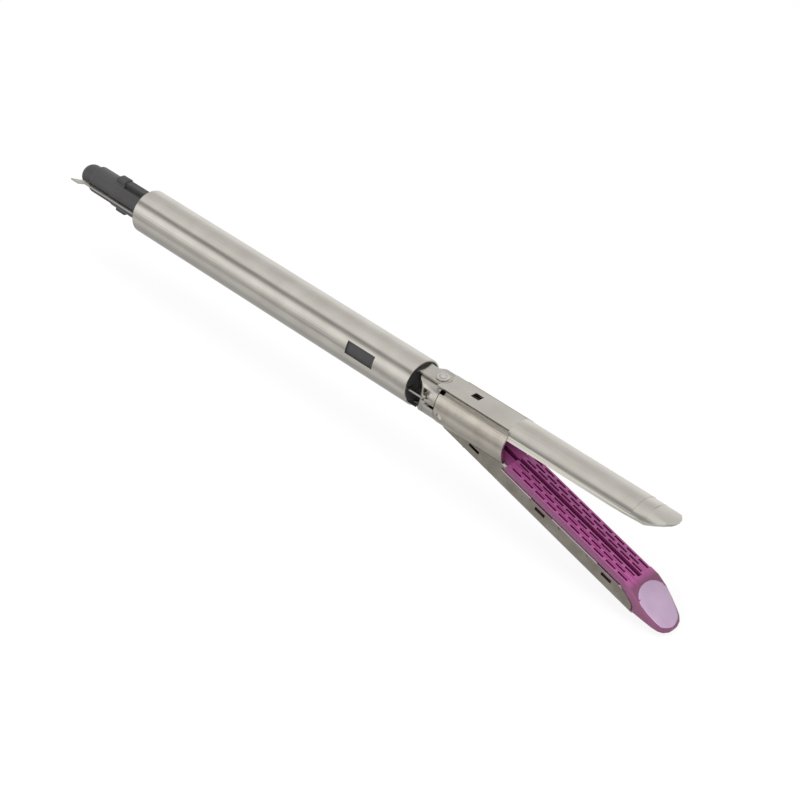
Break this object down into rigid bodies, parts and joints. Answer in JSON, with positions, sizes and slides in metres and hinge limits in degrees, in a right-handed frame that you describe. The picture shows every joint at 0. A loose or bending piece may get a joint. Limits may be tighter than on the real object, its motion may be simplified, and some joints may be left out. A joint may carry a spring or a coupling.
{
  "type": "articulating endoscopic stapler loading unit",
  "caption": "Disposable linear stapler unit on a slim steel shaft: a swivelling tool with a fixed anvil, a cartridge jaw that closes on tissue, and a bayonet tip.",
  "frame": {"origin": "on the shaft axis at the proximal end face of the shaft tube, against the insertion tip's shoulder", "axes": "+X along the shaft towards the jaws, +Z towards the anvil side, +Y to the side away from the articulation link"},
  "size_m": [0.2071, 0.012, 0.0284],
  "materials": {
    "tube_steel": "satin",
    "stamped_steel": "satin",
    "cast_steel": "matte",
    "pin_steel": "polished",
    "spring_steel": "satin",
    "blade_steel": "polished",
    "staple_titanium": "satin",
    "dark_plastic": "satin",
    "purple_plastic": "satin",
    "pusher_plastic": "matte"
  },
  "bodies": {
    "shaft": {"shaft_tube": "tube_steel", "housing_upper": "dark_plastic", "housing_lower": "dark_plastic", "coupling_plate_upper": "stamped_steel", "coupling_plate_lower": "stamped_steel", "blowout_plates": "spring_steel", "lockout_pin": "pin_steel", "lockout_spring": "spring_steel"},
    "tool": {"mount_upper": "cast_steel", "mount_lower": "cast_steel", "pivot_rivet_upper": "pin_steel", "pivot_rivet_lower": "pin_steel", "link_pin": "pin_steel", "mount_pin": "pin_steel", "anvil_body": "tube_steel", "anvil_cover": "tube_steel", "jaw_pivot_pins": "pin_steel", "jaw_springs": "spring_steel"},
    "cartridge_jaw": {"channel": "tube_steel", "cartridge": "purple_plastic", "staple_pushers": "pusher_plastic", "staples": "staple_titanium"},
    "drive": {"drive_beam": "stamped_steel", "drive_strip": "spring_steel"},
    "drive_head": {"drive_head": "cast_steel", "knife_blade": "blade_steel"},
    "articulation_link": {"articulation_link": "stamped_steel"},
    "lockout_lever": {"lockout_lever": "stamped_steel"},
    "sled": {"sled": "cast_steel"}
  },
  "joints": [
    {"name": "articulation", "type": "hinge", "parent": "shaft", "child": "tool", "pos_m": [0.106, 0, 0], "axis": [0, 0, 1], "range_deg": [-45, 45], "deforming": ["drive_strip", "blowout_plates"]},
    {"name": "jaw_closing", "type": "hinge", "parent": "tool", "child": "cartridge_jaw", "pos_m": [0.1112, 0, -0.0013], "axis": [0, -1, 0], "range_deg": [0, 14.7], "stiffness_Nm_per_rad": 0.02, "springref_deg": -28.65, "deforming": ["jaw_springs"]},
    {"name": "beam_slide", "type": "slide", "parent": "shaft", "child": "drive", "axis": [1, 0, 0], "range_m": [0, 0.0061]},
    {"name": "head_slide", "type": "slide", "parent": "tool", "child": "drive_head", "axis": [1, 0, 0], "range_m": [0, 0.0061]},
    {"name": "link_slide", "type": "slide", "parent": "shaft", "child": "articulation_link", "axis": [1, 0, 0], "range_m": [-0.0028, 0.0028]},
    {"name": "lockout_tilt", "type": "hinge", "parent": "shaft", "child": "lockout_lever", "pos_m": [0.07, 0, 0.00355], "axis": [0, -1, 0], "range_deg": [0, 5], "stiffness_Nm_per_rad": 0.002, "springref_deg": -11.46, "deforming": ["lockout_spring"]},
    {"name": "sled_slide", "type": "slide", "parent": "cartridge_jaw", "child": "sled", "axis": [0.9673, 0, -0.2538], "range_m": [0, 0.002]}
  ],
  "couplings": [
    {"joint": "link_slide", "follows": "articulation", "m_per_rad": 0.00351},
    {"joint": "beam_slide", "follows": "jaw_closing", "m_per_rad": 0.023386},
    {"joint": "head_slide", "follows": "jaw_closing", "m_per_rad": 0.023386}
  ]
}
